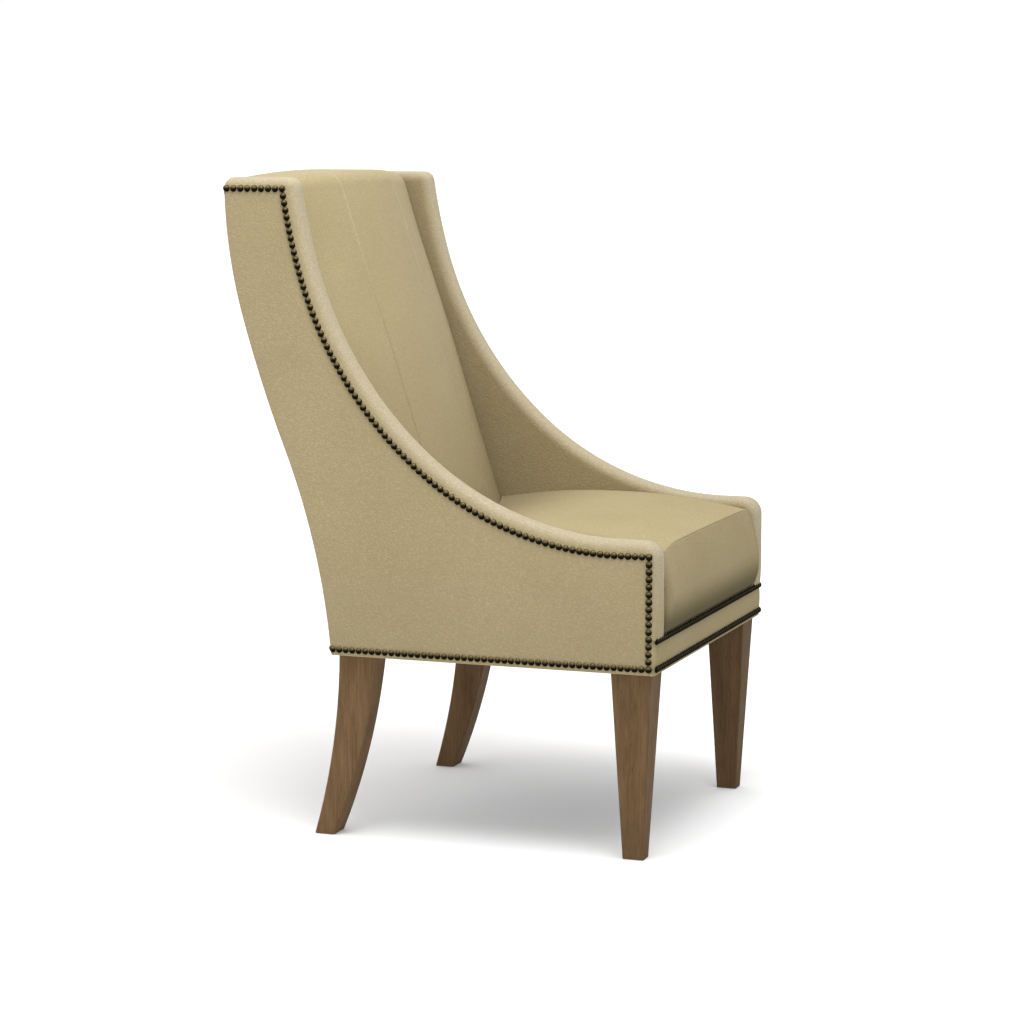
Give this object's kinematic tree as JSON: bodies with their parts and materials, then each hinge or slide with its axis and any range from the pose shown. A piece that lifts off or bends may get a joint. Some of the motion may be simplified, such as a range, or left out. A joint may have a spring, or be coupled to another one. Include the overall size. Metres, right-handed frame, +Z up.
{
  "type": "upholstered dining chair",
  "caption": "Leather dining chair with low scooped arms rising into a high padded back, a tight crowned seat, dome-nail trim, tapered front legs and sabre rear legs",
  "frame": {"origin": "on the floor, under the middle of the chair's bounding box", "axes": "+Z up, the chair faces -Y, +X is the sitter's left"},
  "size_m": [0.6058, 0.7224, 1.043],
  "materials": {
    "antique_brass": "dark antique brass, domed",
    "dust_cloth": "thin black cloth",
    "foam": "open-cell foam",
    "frame_wood": "raw hardwood",
    "glide_plastic": "nylon glide",
    "leather": "pebbled semi-matte khaki cream leather",
    "leg_wood": "mid-brown stained hardwood, satin",
    "plywood": "raw plywood",
    "steel": "zinc-plated steel",
    "webbing": "elastic webbing"
  },
  "bodies": {
    "root": {"back_bottom_nails": "antique_brass", "back_foam": "foam", "back_rail_dowels": "frame_wood", "back_seat_rail": "frame_wood", "back_straps": "webbing", "back_top_nails": "antique_brass", "corner_block_screws": "steel", "crest_rail": "frame_wood", "cross_seat_straps": "webbing", "dust_cover": "dust_cloth", "front_band": "leather", "front_leg_bolts": "steel", "front_leg_nuts": "steel", "front_leg_washers": "steel", "front_lower_nails": "antique_brass", "front_seat_rail": "frame_wood", "front_upper_nails": "antique_brass", "inside_back_cover": "leather", "left_arm_cover": "leather", "left_arm_pad": "foam", "left_front_corner_block": "frame_wood", "left_front_glide": "glide_plastic", "left_front_leg": "leg_wood", "left_outside_panel": "leather", "left_rear_corner_block": "frame_wood", "left_rear_glide": "glide_plastic", "left_rear_leg": "leg_wood", "left_seat_rail": "frame_wood", "left_side_nails": "antique_brass", "left_side_panel": "plywood", "lengthwise_seat_straps": "webbing", "lumbar_rail": "frame_wood", "outside_back_board": "plywood", "outside_back_cover": "leather", "right_arm_cover": "leather", "right_arm_pad": "foam", "right_front_corner_block": "frame_wood", "right_front_glide": "glide_plastic", "right_front_leg": "leg_wood", "right_outside_panel": "leather", "right_rear_corner_block": "frame_wood", "right_rear_glide": "glide_plastic", "right_rear_leg": "leg_wood", "right_seat_rail": "frame_wood", "right_side_nails": "antique_brass", "right_side_panel": "plywood", "seat_cover": "leather", "seat_foam": "foam", "seat_rail_dowels": "frame_wood", "side_panel_screws": "steel"}
  },
  "joints": []
}
